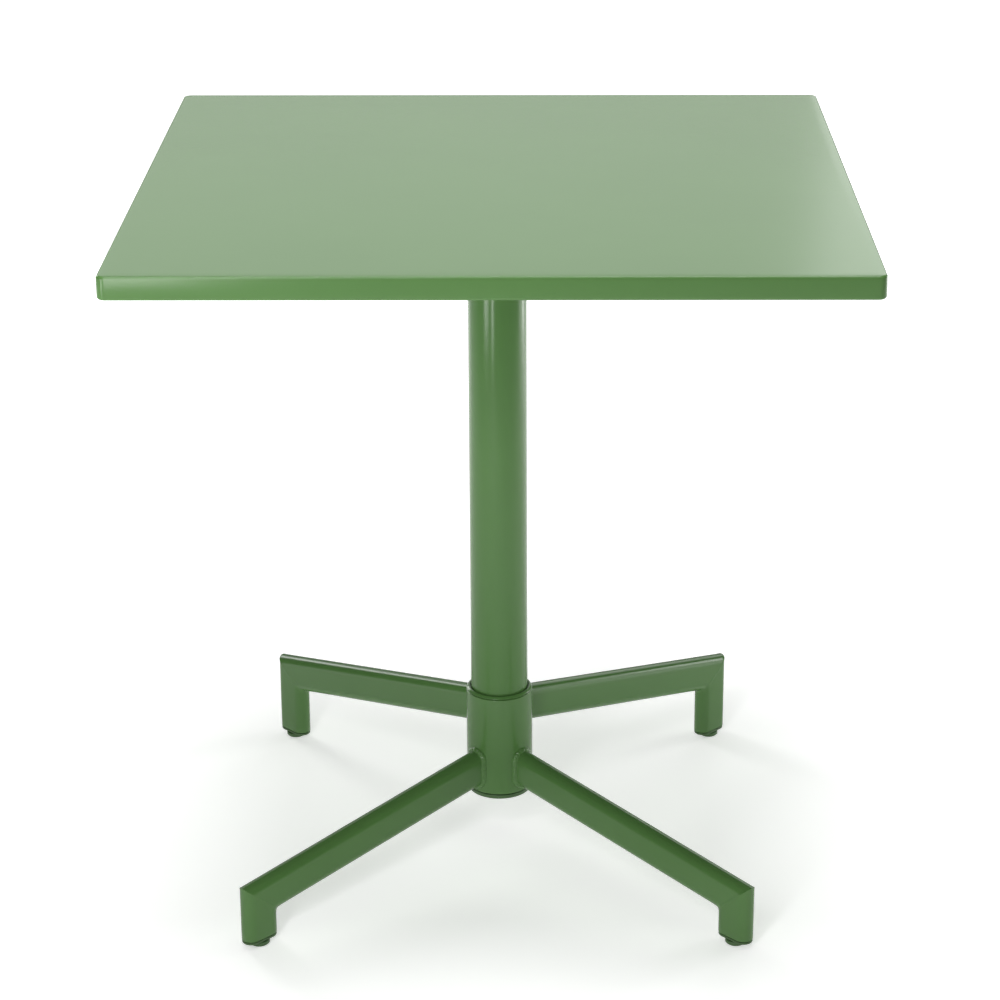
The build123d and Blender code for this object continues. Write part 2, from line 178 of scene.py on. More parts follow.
class Finish:
    # one material, built up node by node
    def __init__(self, name):
        self.material = bpy.data.materials.new(name)
        self.material.use_nodes = True
        self.tree = self.material.node_tree
        self.tree.nodes.clear()

    def node(self, kind, settings=None, sockets=None, give=0):
        made = self.tree.nodes.new(kind)
        for name, value in (settings or {}).items():
            setattr(made, name, value)
        for name, value in (sockets or {}).items():
            if isinstance(value, Wire):
                self.tree.links.new(value.socket, made.inputs[name])
            else:
                made.inputs[name].default_value = value
        return Wire(self, made.outputs[give]) if made.outputs else made

    def noise(self, place, scale, detail, roughness=0.5):
        sockets = {"Vector": place, "Scale": scale, "Detail": detail, "Roughness": roughness}
        return self.node("ShaderNodeTexNoise", {}, sockets, "Fac")

    def spread(self, value, low, high, toLow=0.0, toHigh=1.0):
        settings = {"interpolation_type": "SMOOTHSTEP"}
        sockets = {"Value": value, "From Min": low, "From Max": high, "To Min": toLow, "To Max": toHigh}
        return self.node("ShaderNodeMapRange", settings, sockets, "Result")

    def blend(self, share, first, second):
        first, second = (c if isinstance(c, Wire) else (*c, 1.0) for c in (first, second))
        return self.node("ShaderNodeMix", {"data_type": "RGBA"}, {0: share, 6: first, 7: second}, 2)

    def bump(self, height, distance):
        return self.node("ShaderNodeBump", {}, {"Height": height, "Distance": distance}, "Normal")

    def close(self, sockets):
        shader = self.node("ShaderNodeBsdfPrincipled", {}, sockets)
        self.node("ShaderNodeOutputMaterial", {}, {"Surface": shader})
        return self.material


coat = {
    "green": (0.089, 0.198, 0.056),  # linear, as all colours here
    "thin": (0.084, 0.189, 0.053),  # where the powder lies thin
    "shine": 0.33,  # specular level
    "roughness": 0.19,
    "peelSize": 1.6 * mm,  # one cell of the orange peel
    "peelDepth": 0.012 * mm,
    "grainSize": 0.35 * mm,
    "grainDepth": 0.003 * mm,
    "glossDrift": 0.015,
    "driftScale": 5.0,  # slow colour drift, cells per metre
    "castSize": 2.6 * mm,  # one lump of the casting's skin
    "castDepth": 0.05 * mm,
}


def makeCoat(name, castDepth=0.0):
    # powder coat: colour drifts by a few percent over a hand's width and over each grain,
    # height is a soft cell pattern plus a fine grain, and a casting adds its own rough skin
    look = Finish(name)
    place = look.node("ShaderNodeTexCoord", {}, {}, "Object")
    drift = look.noise(place, coat["driftScale"], 3.0)
    speck = look.noise(place, 1 / coat["grainSize"], 1.0)
    share = look.spread(drift * 0.7 + speck * 0.3, 0.3, 0.7)
    colour = look.blend(share, coat["thin"], coat["green"])
    cells = look.noise(place, 1 / coat["peelSize"], 1.0, 0.4)
    skin = look.spread(cells, 0.3, 0.7) * coat["peelDepth"] + speck * coat["grainDepth"]
    if castDepth:
        skin = skin + look.noise(place, 1 / coat["castSize"], 4.0, 0.6) * castDepth
    rough, either = coat["roughness"], coat["glossDrift"]
    gloss = look.spread(speck, 0.3, 0.7, rough - either, rough + either)
    return look.close({
        "Base Color": colour, "Roughness": gloss, "Normal": look.bump(skin * (1 / mm), mm),
        "Specular IOR Level": coat["shine"], "IOR": 1.5,
    })


moulded = {
    "green": (0.052, 0.115, 0.035),
    "black": (0.018, 0.018, 0.019),
    "natural": (0.66, 0.64, 0.57),
    "sparkSize": 0.45 * mm,  # spark-eroded texture of the mould
    "sparkDepth": 0.02 * mm,
    "flowScale": 60.0,  # flow marks, cells per metre
    "paler": 1.25,
}


def makeMoulded(name, colour, roughness, depth):
    # moulded plastic or rubber: pitted mould texture, faint flow marks that pale the colour a little
    look = Finish(name)
    place = look.node("ShaderNodeTexCoord", {}, {}, "Object")
    pits = look.noise(place, 1 / moulded["sparkSize"], 2.0, 0.6)
    flow = look.noise(place, moulded["flowScale"], 2.0)
    paler = tuple(min(1.0, c * moulded["paler"] + 0.006) for c in moulded[colour])
    tint = look.blend(look.spread(flow + 0.3 * pits, 0.45, 0.9), moulded[colour], paler)
    gloss = look.spread(pits, 0.3, 0.7, roughness - 0.06, roughness + 0.08)
    return look.close({
        "Base Color": tint, "Roughness": gloss, "Normal": look.bump(pits * (depth / mm), mm),
        "Specular IOR Level": 0.5,
    })


metal = {
    "zinc": (0.52, 0.53, 0.55),
    "zincWarm": (0.60, 0.55, 0.42),  # passivated patches
    "steel": (0.34, 0.34, 0.35),
    "oil": (0.20, 0.18, 0.16),
    "cloudScale": 140.0,  # cells per metre
    "lineScale": 900.0,
    "squeeze": (1.0, 1.0, 14.0),  # packs the scratches closer along Z, so they run across it
}


def makeMetal(name, colour, other, roughness, scratch):
    # plated or turned steel: cloudy second tone, and fine scratches stretched along one axis
    look = Finish(name)
    place = look.node("ShaderNodeTexCoord", {}, {}, "Object")
    cloud = look.noise(place, metal["cloudScale"], 3.0, 0.6)
    tint = look.blend(look.spread(cloud, 0.42, 0.68), metal[colour], metal[other])
    squeezed = look.node("ShaderNodeVectorMath", {"operation": "MULTIPLY"}, {0: place, 1: metal["squeeze"]})
    lines = look.noise(squeezed, metal["lineScale"], 2.0, 0.7)
    gloss = look.spread(lines * 0.6 + cloud * 0.4, 0.3, 0.7, roughness - 0.08, roughness + 0.1)
    return look.close({
        "Base Color": tint, "Metallic": 1.0, "Roughness": gloss,
        "Normal": look.bump(lines * (scratch / mm), mm),
    })


spark = moulded["sparkDepth"]
slotFinish = {
    "green_coat": makeCoat("satinGreenCoat"),
    "cast_head": makeCoat("castGreenCoat", coat["castDepth"]),
    "green_plastic": makeMoulded("greenPlastic", "green", roughness=0.42, depth=spark * 0.5),
    "lever_plastic": makeMoulded("blackPlastic", "black", roughness=0.5, depth=spark),
    "buffer_rubber": makeMoulded("blackRubber", "black", roughness=0.72, depth=spark * 0.7),
    "friction_nylon": makeMoulded("naturalNylon", "natural", roughness=0.4, depth=spark * 0.3),
    "zinc_fastener": makeMetal("zincPlate", "zinc", "zincWarm", roughness=0.32, scratch=0.004 * mm),
    "bare_steel": makeMetal("bareSteel", "steel", "oil", roughness=0.38, scratch=0.006 * mm),
}
for part in frame["record"]["subparts"]:  # every carried-over CAD node gets its slot's finish
    node = frame["nodes"][part["node"]]
    node.data.materials.clear()
    node.data.materials.append(slotFinish[part["material_slot"]])
print("finishes made:", len(bpy.data.materials))


# camera, floor and light

lens = {
    "place": (0.03747, -2.77463, 1.45907),
    "yaw": 0.062,  # degrees to the right of +Y
    "pitch": 20.374,  # degrees below the horizon
    "roll": -0.033,
    "millimetres": 103.36,
    "shift": (-0.0373, -0.0407),
}


def makeCamera():
    yaw, pitch, roll = (math.radians(lens[k]) for k in ("yaw", "pitch", "roll"))
    ahead = Vector((math.sin(yaw) * math.cos(pitch), math.cos(yaw) * math.cos(pitch), -math.sin(pitch)))
    level = Vector((math.cos(yaw), -math.sin(yaw), 0))
    upward = level.cross(ahead)
    right = level * math.cos(roll) + upward * math.sin(roll)
    top = right.cross(ahead)
    data = bpy.data.cameras.new("viewCamera")
    data.lens = lens["millimetres"]
    data.sensor_width = 36
    data.shift_x, data.shift_y = lens["shift"]
    data.clip_end = 100
    camera = bpy.data.objects.new("viewCamera", data)
    turn = Matrix((right, top, -ahead)).transposed()
    camera.matrix_world = Matrix.Translation(lens["place"]) @ turn.to_4x4()
    bpy.context.scene.collection.objects.link(camera)
    bpy.context.scene.camera = camera


studio = {
    "room": 0.02,  # strength of the even room light
    "floorPale": (0.90, 0.90, 0.90),
    "floorDull": (0.87, 0.87, 0.87),
    "nearGlow": 0.32,  # the floor's own light near the table
    "shownGlow": 0.46,  # as the camera sees it
    "farGlow": 1.0,  # and beyond farReach
    "nearReach": 0.45,  # metres from the column's axis
    "farReach": 2.1,
    "behind": (-1.2, 0.6),  # the far glow sets in between these places in Y
    # name: place, what it points at, width, height, power in watts, spread in degrees
    "lights": {
        "keyLeft": ((-0.56, -1.82, 1.0), (0, 0, 0.5), 0.25, 1.5, 14, 180),
        "frontHigh": ((-0.35, -2.2, 2.1), (0, 0, 0.3), 0.5, 0.3, 6, 180),
        "apronLeft": ((-0.9, -1.05, 0.6), (-0.2, -0.35, 0.72), 0.4, 0.4, 0.38, 50),
        "sideRight": ((2.38, 1.27, 0.62), (0, 0, 0.35), 0.75, 1.3, 22, 180),
        "farRight": ((2.66, 0.47, 0.7), (0, 0, 0.4), 0.75, 1.5, 8, 180),
        "backLeft": ((-1.74, 2.07, 1.15), (0, 0, 0.5), 0.75, 1.9, 24, 180),
        "backWide": ((0, 3.5, 1.9), (0, 0, 0.7), 5.0, 1.5, 25, 180),
        "backRight": ((1.6, 3.3, 1.9), (0, 0, 0.7), 2.0, 1.4, 7.5, 180),
        "overhead": ((0, -0.1, 3.0), (0, 0, 0.7), 1.5, 1.5, 62, 180),
    },
}


def makeStudio():
    world = bpy.data.worlds.new("room")
    bpy.context.scene.world = world
    world.use_nodes = True
    room = world.node_tree.nodes["Background"]
    room.inputs["Color"].default_value = (1, 1, 1, 1)
    # the camera sees a white room, which lights the table only faintly
    nodes, links = world.node_tree.nodes, world.node_tree.links
    ray, blend = nodes.new("ShaderNodeLightPath"), nodes.new("ShaderNodeMapRange")
    blend.inputs["To Min"].default_value = studio["room"]
    blend.inputs["To Max"].default_value = 1.0
    links.new(ray.outputs["Is Camera Ray"], blend.inputs["Value"])
    links.new(blend.outputs["Result"], room.inputs["Strength"])
    for name, (place, target, width, height, power, spread) in studio["lights"].items():
        data = bpy.data.lights.new(name, "AREA")
        data.shape = "RECTANGLE"
        data.size, data.size_y, data.energy = width, height, power
        data.spread = math.radians(spread)
        light = bpy.data.objects.new(name, data)
        light.location = place
        light.rotation_euler = (Vector(target) - Vector(place)).to_track_quat("-Z", "Y").to_euler()
        light.visible_camera = False
        bpy.context.scene.collection.objects.link(light)
    # the floor's glow rises smoothly with distance from the table; the front half glows for the camera only
    look = Finish("paleFloor")
    place = look.node("ShaderNodeTexCoord", {}, {}, "Object")
    away = look.node("ShaderNodeVectorMath", {"operation": "LENGTH"}, {0: place}, "Value")
    depth = look.node("ShaderNodeSeparateXYZ", {}, {"Vector": place}, "Y")
    seen = look.node("ShaderNodeLightPath", {}, {}, "Is Camera Ray")
    back = look.spread(depth, *studio["behind"])
    behind = look.node("ShaderNodeMath", {"operation": "MAXIMUM"}, {0: back, 1: seen})
    share = look.spread(away, studio["nearReach"], studio["farReach"]) * behind
    near, far, shown = (3 * (studio[k],) for k in ("nearGlow", "farGlow", "shownGlow"))
    near = look.blend(seen, near, shown)
    tone = look.spread(look.noise(place, 1.5, 3.0), 0.3, 0.7)
    finish = look.close({
        "Base Color": look.blend(tone, studio["floorDull"], studio["floorPale"]), "Roughness": 0.9,
        "Specular IOR Level": 0.2, "Emission Color": look.blend(share, near, far), "Emission Strength": 1.0,
    })
    side = np.array([-30.0, 30.0])
    x, y = np.meshgrid(side, side, indexing="ij")
    mesh = bpy.data.meshes.new("floor")
    spots = np.stack([x, y, 0 * x - 0.0002], -1)
    mesh.from_pydata(spots.reshape(-1, 3).tolist(), [], gridFaces(2, 2, False, False).tolist())
    floor = bpy.data.objects.new("floor", mesh)
    mesh.materials.append(finish)
    bpy.context.scene.collection.objects.link(floor)


bpy.context.scene.view_settings.view_transform = "Standard"
makeCamera()
makeStudio()
print("camera and studio set")


# table top

tray = {
    "corner": 8.0 * mm,  # plan radius
    "fold": 2.5 * mm,
    "hemBend": 3.0 * mm,
    "hem": 14.0 * mm,
    "sheet": 1.5 * mm,
    "flat": 12.0 * mm,  # from the edge in to where the flat middle starts
    "cut": 0.4 * mm,  # radius of the sheet's cut edge
    "sidePoints": 41,
    "cornerPoints": 17,
}


def squareRings(inset, height, half, corner):
    # a rounded square for each (inset, height): the sides move in, the corner radius shrinks with them
    least = 0.15 * mm
    radius = np.maximum(corner - inset, least)
    centre = np.maximum(half - inset - radius, 0)
    run = np.sin(np.linspace(-1, 1, tray["sidePoints"])[1:-1] * math.pi / 2)
    turn = np.linspace(0, math.pi / 2, tray["cornerPoints"])
    rings = []
    for quarter in range(4):
        arcX = centre[:, None] + radius[:, None] * np.cos(turn)
        arcY = centre[:, None] + radius[:, None] * np.sin(turn)
        sideX = -centre[:, None] * run
        sideY = (centre + radius)[:, None] + 0 * run
        x, y = np.hstack([arcX, sideX]), np.hstack([arcY, sideY])
        for _ in range(quarter):
            x, y = -y, x
        rings.append(np.stack([x, y, height[:, None] + 0 * x], -1))
    return np.concatenate(rings, 1)


def makeTop():
    # one profile, sheet thick: over the surface, down the apron, in along the hem, and back inside
    low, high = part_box("table_top")
    half, t, flat, cut = high.x, tray["sheet"], tray["flat"], tray["cut"]
    top, bottom = high.z, low.z
    outer = rounded([
        (flat, top, 0), (0, top, tray["fold"]), (0, bottom, tray["hemBend"]),
        (tray["hem"], bottom, cut), (tray["hem"], bottom + t, cut),
        (t, bottom + t, tray["hemBend"] - t), (t, top - t, tray["fold"] - t), (flat, top - t, 0),
    ], 8)
    spread = np.linspace(1, 0, 15)[:-1]
    reach = half - flat
    above = np.stack([half - reach * (1 - spread), top + 0 * spread], -1)
    below = np.stack([half - reach * (1 - spread[::-1]), top - t + 0 * spread], -1)
    profile = np.concatenate([above, outer, below])
    rings = squareRings(profile[:, 0], profile[:, 1], half, tray["corner"])
    makePiece("tableTop", [(rings, False, True)], "top", "green_coat", ["table_top"], 30, fill=True)


makeTop()
print("table top made")


# column, hub, collar and cap

hubParts = {
    "wall": 4.0 * mm,
    "hubEdge": 0.9 * mm,  # radius of the hub's outer edges
    "columnWall": 2.0 * mm,
    "play": 0.05 * mm,  # room between parts that slide together
    "gapWide": 1.2 * mm,  # shadow gap between collar and column
    "gapDeep": 2.9 * mm,
    "neck": 0.8 * mm,  # shadow gap between collar and hub
    "neckDeep": 2.6 * mm,
    "chamfer": 2.0 * mm,
    "capGap": 1.6 * mm,
    "capEdge": 1.7 * mm,
    "capWall": 3.0 * mm,
    "capGroove": 0.7 * mm,
    "capDish": (9.0 * mm, 10.0 * mm),  # the dish in the middle of the cap: radius of its floor, of its rim
    "capRing": (22.0 * mm, 22.6 * mm, 24.4 * mm, 25.0 * mm),  # the groove round it: rim, floor, floor, rim
    "segments": 128,
}


def makeHub():
    # every piece here is a closed profile of (radius, height) turned about the column's axis
    around = hubParts["segments"]
    low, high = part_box("column_tube")
    r, inner = high.x, high.x - hubParts["columnWall"]
    bore = r + hubParts["play"]
    tube = ringSection(inner, r, low.z, high.z, 0.3 * mm, 0.4 * mm)
    makePiece("columnTube", [turned(tube, closed=True, segments=around)], "pedestal", "green_coat",
              ["column_tube"])

    low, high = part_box("hub_tube")
    hubLow, hubTop, edge = low.z, high.z, hubParts["hubEdge"]
    r, inner = high.x, high.x - hubParts["wall"]
    hub = ringSection(inner, r, low.z, high.z, 0.4 * mm, edge, 5)
    makePiece("hubTube", [turned(hub, closed=True, segments=around)], "pedestal", "green_coat", ["hub_tube"])

    sleeve = inner - hubParts["play"]
    low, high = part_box("collar_ring")
    r, gap, cut, deep = high.x, hubParts["gapWide"], hubParts["chamfer"], hubParts["gapDeep"]
    neck, under = r - hubParts["neckDeep"], hubTop + hubParts["neck"]
    collar = rounded([
        (bore, low.z, 0), (sleeve, low.z, 0), (sleeve, hubTop, 0), (neck, hubTop, 0), (neck, under, 0),
        (r, under, 0.25 * mm), (r, high.z - cut, 1.2 * mm), (r - cut, high.z, 1.0 * mm),
        (bore + gap, high.z, 0.3 * mm), (bore + gap, high.z - deep, 0), (bore, high.z - deep, 0),
    ], 4, True)
    makePiece("collarRing", [turned(collar, closed=True, segments=around)], "pedestal", "green_coat",
              ["collar_ring"])

    low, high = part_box("hub_cap")
    r, edge, step, top = high.x, hubParts["capEdge"], hubParts["capGroove"], hubLow - hubParts["capGap"]
    wall, dish, ring = sleeve - hubParts["capWall"], hubParts["capDish"], hubParts["capRing"]
    cap = rounded([
        (0, low.z + step, 0), (dish[0], low.z + step, 0.5 * mm), (dish[1], low.z, 0.5 * mm),
        (ring[0], low.z, 0.5 * mm), (ring[1], low.z + step, 0.3 * mm), (ring[2], low.z + step, 0.3 * mm),
        (ring[3], low.z, 0.5 * mm), (r, low.z, edge), (r, top, 0.5 * mm), (sleeve, top, 0.2 * mm),
        (sleeve, high.z, 0.6 * mm), (wall, high.z, 0.4 * mm), (wall, top, 0.4 * mm), (0, top, 0),
    ], 5)
    makePiece("hubCap", [turned(cap, segments=around)], "pedestal", "green_plastic", ["hub_cap"])


makeHub()
print("column, hub, collar and cap made")


# arms, legs and their welds

armShape = {
    "deep": 40.0 * mm,  # flat-oval tube, long side upright
    "wide": 20.0 * mm,
    "wall": 2.0 * mm,
    "sunk": 0.2 * mm,  # the arm starts this far inside the hub's surface
    "reach": 338.0 * mm,  # column axis to leg axis
    "front": (92.2 * mm, 0.123),  # height of the axis at the column, fall per unit outwards
    "rear": (149.0 * mm, 0.207),
    "nose": 25,  # points round each half circle
    "seamLift": 0.22 * mm,  # dressed weld round the mitre
    "seamWide": 1.5 * mm,
    "cornerLift": 1.5 * mm,  # fillet left in the inner corner
    "cornerWide": 2.6 * mm,
    "footEdge": 0.5 * mm,
}
# where the skins have rings, from the mitre
nearMitre = np.array([0, 0.3, 0.6, 1.0, 1.5, 2.1, 3.0, 4.2, 6.0, 9.0, 14.0])[:, None] * mm


def ovalLoop(inset=0.0):
    # two half circles joined by straight sides, as (upright, sideways), and each point's outward direction
    radius = armShape["wide"] / 2 - inset
    centre = (armShape["deep"] - armShape["wide"]) / 2
    turn = np.linspace(-math.pi / 2, math.pi / 2, armShape["nose"])
    outward = np.stack([np.cos(turn), np.sin(turn)], -1)
    first = radius * outward + np.array([centre, 0])
    return np.concatenate([first, -first]), np.concatenate([outward, -outward])


def armAxes(kind):
    # start height, direction, upright direction, mitre corner and mitre normal of an arm drawn along +X
    height, fall = armShape[kind]
    tilt = math.atan(fall)
    along = np.array([math.cos(tilt), 0, -math.sin(tilt)])
    upright = np.array([math.sin(tilt), 0, math.cos(tilt)])
    corner = np.array([armShape["reach"], 0, height - fall * armShape["reach"]])
    return height, along, upright, corner, along + np.array([0, 0, -1.0])


def seamBulge(gap, loop, outward, upright):
    # how far the skin stands out near the mitre: a low ridge all round and a fillet in the inner corner
    inner = np.clip(-loop[:, 0] / armShape["deep"] * 2, 0, 1) ** 6
    ridge = armShape["seamLift"] * np.exp(-(gap / armShape["seamWide"]) ** 2)
    fillet = armShape["cornerLift"] * inner * np.exp(-(gap / armShape["cornerWide"]) ** 1.3)
    lean = (upright + np.array([1.0, 0, 0])) / np.linalg.norm(upright + np.array([1.0, 0, 0]))
    direction = outward[:, :1] * lean + outward[:, 1:] * np.array([0, 1.0, 0])
    return (ridge + fillet)[..., None] * direction


def armSkin(kind, inset):
    # straight lines along the arm from the hub's surface to the mitre plane, one from each point of the oval
    height, along, upright, corner, normal = armAxes(kind)
    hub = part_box("hub_tube")[1].x - armShape["sunk"]
    loop, outward = ovalLoop(inset)
    ring = np.array([0, 0, height]) + loop[:, :1] * upright + loop[:, 1:] * np.array([0, 1.0, 0])
    first = (np.sqrt(hub ** 2 - loop[:, 1] ** 2) - ring[:, 0]) / along[0]
    last = ((corner - ring) @ normal) / (along @ normal)
    near = last - nearMitre[::-1]
    reach = np.concatenate([first + (near[:1] - first) * np.linspace(0, 1, 9)[:-1, None], near])
    skin = ring + reach[..., None] * along
    return skin if inset else skin + seamBulge(last - reach, loop, outward, upright)


def legSkin(kind, bottom, inset):
    # upright lines from the mitre plane down to the leg's foot
    upright, corner, normal = armAxes(kind)[2:]
    loop, outward = ovalLoop(inset)
    x = armShape["reach"] + loop[:, 0]
    top = corner[2] - (x - corner[0]) * normal[0] / normal[2]
    near = top - nearMitre[:-1]
    z = np.concatenate([near, near[-1:] + (bottom - near[-1:]) * np.linspace(0, 1, 5)[1:, None]])
    skin = np.stack([x + 0 * z, loop[:, 1] + 0 * z, z], -1)
    return skin if inset else skin + seamBulge(top - z, loop, outward, upright)


def ringAt(loop, z):
    return np.stack([armShape["reach"] + loop[:, 0], loop[:, 1], z + 0 * loop[:, 0]], -1)


bead = {
    "size": 3.4 * mm,  # reach of the fillet weld along the hub and along the arm
    "pitch": 2.9 * mm,  # one ripple
    "ripple": 0.075,  # swell of each ripple, as a share of the size
    "wander": 0.07,  # slow swell along the whole bead
    "around": 320,
}


def beadGrid(kind):
    # a quarter round carried along the line where arm and hub meet, whose size swells at each ripple
    height, along, upright = armAxes(kind)[:3]
    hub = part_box("hub_tube")[1].x
    loop, outward = ovalLoop()
    place = np.concatenate([[0], np.cumsum(np.hypot(*(np.roll(loop, -1, 0) - loop).T))])
    even = np.linspace(0, place[-1], bead["around"], endpoint=False)
    around = np.hstack([loop, outward])
    around = np.vstack([around, around[:1]])
    u, w, outU, outW = (np.interp(even, place, around[:, k]) for k in range(4))
    across = np.linspace(-0.12, 1.12, 12)[:, None] * math.pi / 2
    middle = np.sin(np.clip(across * 2, 0, math.pi))
    ripple = bead["ripple"] * middle * np.cos(2 * math.pi * even / bead["pitch"] - 1.9 * middle)
    size = bead["size"] * (1 + ripple + bead["wander"] * np.sin(10 * math.pi * even / place[-1] + 1.0))
    root = -0.15 * bead["size"] + 0 * even[None]
    away, on = np.vstack([size * np.cos(across), root]), np.vstack([size * np.sin(across), root])
    u, w = u + outU * away, w + outW * away
    ring = np.array([0, 0, height]) + u[..., None] * upright + w[..., None] * np.array([0, 1.0, 0])
    start = (np.sqrt(hub ** 2 - w ** 2) - ring[..., 0]) / along[0]
    return ring + (start + on)[..., None] * along


def makeArms():
    # arms and legs are tubes: the outer skin, then the inner one back again
    bottom, edge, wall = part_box("leg_front_left")[0].z, armShape["footEdge"], armShape["wall"]
    beads = []
    for name, azimuth in feet.items():
        kind, side = name.split("_")[0], name.title().replace("_", "")
        arm = np.concatenate([armSkin(kind, 0), armSkin(kind, wall)[::-1]])
        turn = np.linspace(0, math.pi / 2, 4)[1:]
        end = [ringAt(ovalLoop(edge * (1 - math.cos(t)))[0], bottom + edge * (1 - math.sin(t))) for t in turn]
        leg = np.concatenate([legSkin(kind, bottom + edge, 0), end, legSkin(kind, bottom, wall)[::-1]])
        for part, grid in (("arm", arm), ("leg", leg)):
            sheets = [(placed(grid, azimuth), True, True)]
            makePiece(part + side, sheets, "pedestal", "green_coat", [part + "_" + name])
        beads.append((placed(beadGrid(kind), azimuth), True, True))
    makePiece("hubWelds", beads, "pedestal", "green_coat", ["hub_welds"], 60)


makeArms()
print("arms, legs and welds made")


# feet

foot = {
    "plugInset": 0.3 * mm,
    "plugEdge": 1.2 * mm,
    "plugTopEdge": 0.5 * mm,
    "plugGap": 0.8 * mm,  # shadow line between leg and plug
    "boreR": 4.3 * mm,
    "insertR": 6.05 * mm,
    "padChamfer": 1.6 * mm,
    "padEdge": 0.7 * mm,
    "padStep": 0.4 * mm,
    "padRim": (2.4 * mm, 2.9 * mm),  # width of the raised rim: on top, at its root
    "padDimple": (3.2 * mm, 3.6 * mm, 0.3 * mm),  # under the pad: radius of its floor, of its rim, depth
    "play": 0.1 * mm,  # round the stud
    "threadDeep": 0.6 * mm,
    "pitch": 1.25 * mm,
}


def threaded(radius, deep, pitch, low, high, centre, run=0.5 * mm, columns=36):
    # the radius falls from crest to root and back once every pitch, at a height that climbs with the angle
    rows = int(round((high - low) / pitch * 8)) + 1
    z = np.linspace(low, high, rows)[:, None]
    spin = np.linspace(0, 2 * math.pi, columns, endpoint=False)
    phase = (z / pitch - spin / (2 * math.pi)) % 1
    groove = np.clip(1.35 * (1 - np.abs(2 * phase - 1)) - 0.1, 0, 1)
    fade = np.clip(np.minimum(z - low, high - z) / run, 0, 1)
    r = radius - deep * (groove * fade + 1 - fade)
    return np.stack([centre[0] + r * np.cos(spin), centre[1] + r * np.sin(spin), z + 0 * r], -1)


def plugGrid(low, high, seam, seat):
    # bore, rounded oval flange, oval body inside the leg, and the seat of the threaded insert
    spots = ovalLoop()[0]
    spin = np.arctan2(spots[:, 1], spots[:, 0])
    circle = np.stack([np.cos(spin), np.sin(spin)], -1)
    inset, edge, topEdge, gap = (foot[k] for k in ("plugInset", "plugEdge", "plugTopEdge", "plugGap"))
    turn = np.linspace(0, math.pi / 2, 6)
    rows = [ringAt(circle * foot["boreR"], z) for z in (seat, low + topEdge)]
    rows += [ringAt(circle * (foot["boreR"] + topEdge), low)]
    for t in turn:
        rows.append(ringAt(ovalLoop(inset + edge * (1 - math.sin(t)))[0], low + edge * (1 - math.cos(t))))
    for t in turn:
        level = seam - gap - topEdge * (1 - math.sin(t))
        rows.append(ringAt(ovalLoop(inset + topEdge * (1 - math.cos(t)))[0], level))
    rows += [ringAt(ovalLoop(armShape["wall"] + 0.1 * mm)[0], z) for z in (seam - gap, high)]
    rows += [ringAt(circle * foot["insertR"], z) for z in (high, seat)]
    return np.stack(rows)


def makeFeet():
    for name, azimuth in feet.items():
        side = name.title().replace("_", "")
        low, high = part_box("leg_plug_" + name)
        insertLow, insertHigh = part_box("plug_insert_" + name)
        plug = plugGrid(low.z, high.z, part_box("leg_" + name)[0].z, insertLow.z)
        makePiece("legPlug" + side, [(placed(plug, azimuth), True, True)], "pedestal", "green_plastic",
                  ["leg_plug_" + name], 50)

        low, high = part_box("foot_stud_" + name)
        centre, studR = ((low.x + high.x) / 2, (low.y + high.y) / 2), (high.x - low.x) / 2
        stud = lidded(threaded(studR, foot["threadDeep"], foot["pitch"], low.z, high.z, centre))
        makePiece("footStud" + side, [(stud, False, True)], "stud_" + name, "zinc_fastener",
                  ["foot_stud_" + name], 60)
        bore, seat = studR + foot["play"], low.z - foot["play"]
        outer = (insertHigh.x - insertLow.x) / 2
        insert = ringSection(bore, outer, insertLow.z, insertHigh.z, 0.3 * mm, 0.4 * mm)
        makePiece("plugInsert" + side, [turned(insert, centre, 48, closed=True)], "pedestal", "bare_steel",
                  ["plug_insert_" + name])

        low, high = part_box("foot_pad_" + name)
        r, top, cut, step = (high.x - low.x) / 2, high.z, foot["padChamfer"], foot["padStep"]
        floor, mouth, dimple = foot["padDimple"]
        rim, root = foot["padRim"]
        pad = rounded([
            (0, dimple, 0), (floor, dimple, 0.1 * mm), (mouth, 0, 0.1 * mm),
            (r - cut, 0, 0.8 * mm), (r, cut, 0.8 * mm), (r, top, foot["padEdge"]),
            (r - rim, top, 0.3 * mm), (r - root, top - step, 0.3 * mm),
            (bore, top - step, 0.2 * mm), (bore, seat, 0), (0, seat, 0),
        ], 4)
        makePiece("footPad" + side, [turned(pad, centre, 64)], "pad_" + name, "green_plastic",
                  ["foot_pad_" + name])


makeFeet()
print("feet made")


# what is fixed under the top: channels, plate, screws and nuts

channelShape = {
    "half": 20.0 * mm,  # web, outside
    "lip": 12.0 * mm,
    "sheet": 1.5 * mm,
    "bend": 2.5 * mm,  # outside bend radius
    "weldPitch": 80.0 * mm,
    "weldR": 3.2 * mm,  # each spot weld leaves a shallow round dent in the lip
    "weldDeep": 0.35 * mm,
    "step": 1.1 * mm,  # between points of the outline
}


